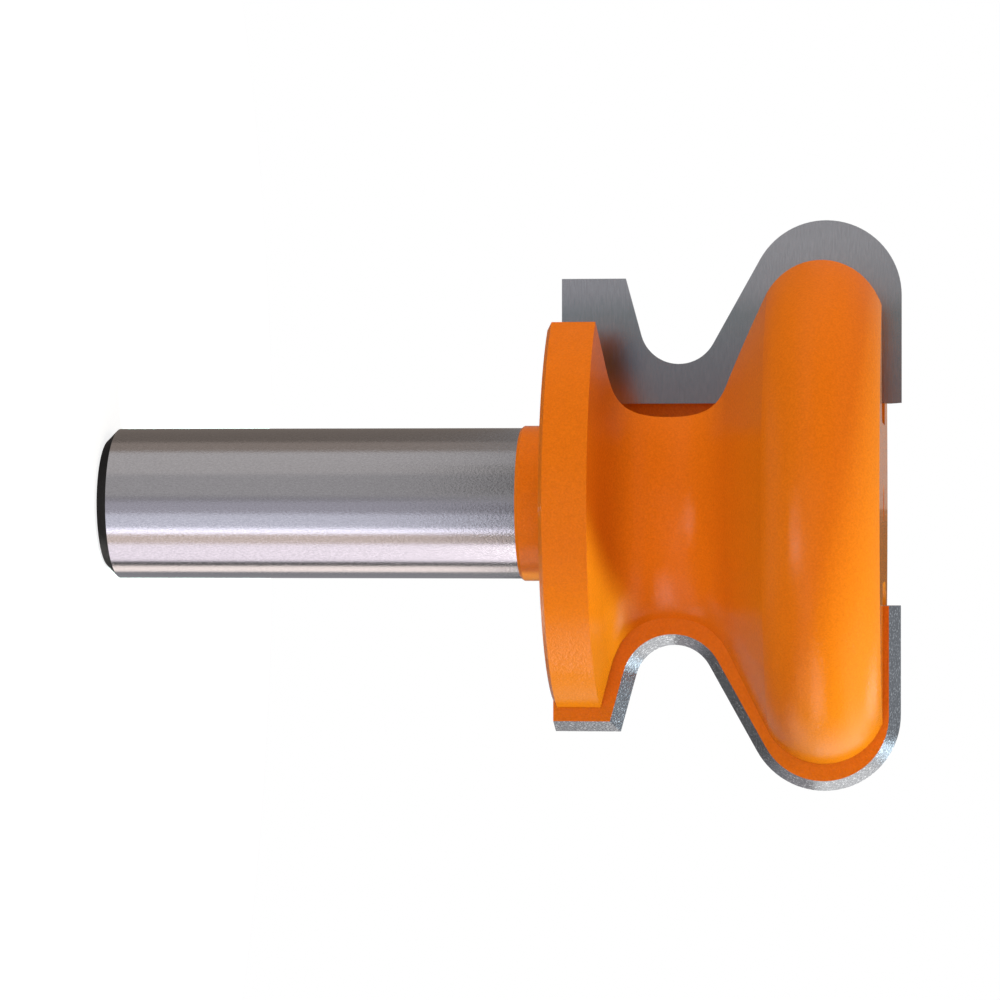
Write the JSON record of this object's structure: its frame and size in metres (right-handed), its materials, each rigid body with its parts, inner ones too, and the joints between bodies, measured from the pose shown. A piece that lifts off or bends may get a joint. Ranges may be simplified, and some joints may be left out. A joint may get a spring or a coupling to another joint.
{
  "type": "router bit",
  "caption": "Finger-pull profile router bit: plain round shank, round chip-limiting head with a flange, a waist groove and a fat bead, and brazed carbide cutting tips.",
  "frame": {"origin": "centre of the shank's ground end face, which is also the bottom of the box", "axes": "+Z along the bit's axis from the shank towards the cutting end; X lies along the flat rake faces of the two tips"},
  "size_m": [0.0478, 0.044, 0.0672],
  "materials": {
    "cutter_body": "satin orange non-stick coating on the head, bare ground steel on the shank, blackened shank end",
    "carbide": "fine-ground tungsten carbide"
  },
  "bodies": {
    "root": {"cutter_body": "cutter_body", "carbide_tip_a": "carbide", "carbide_tip_b": "carbide"}
  },
  "joints": []
}
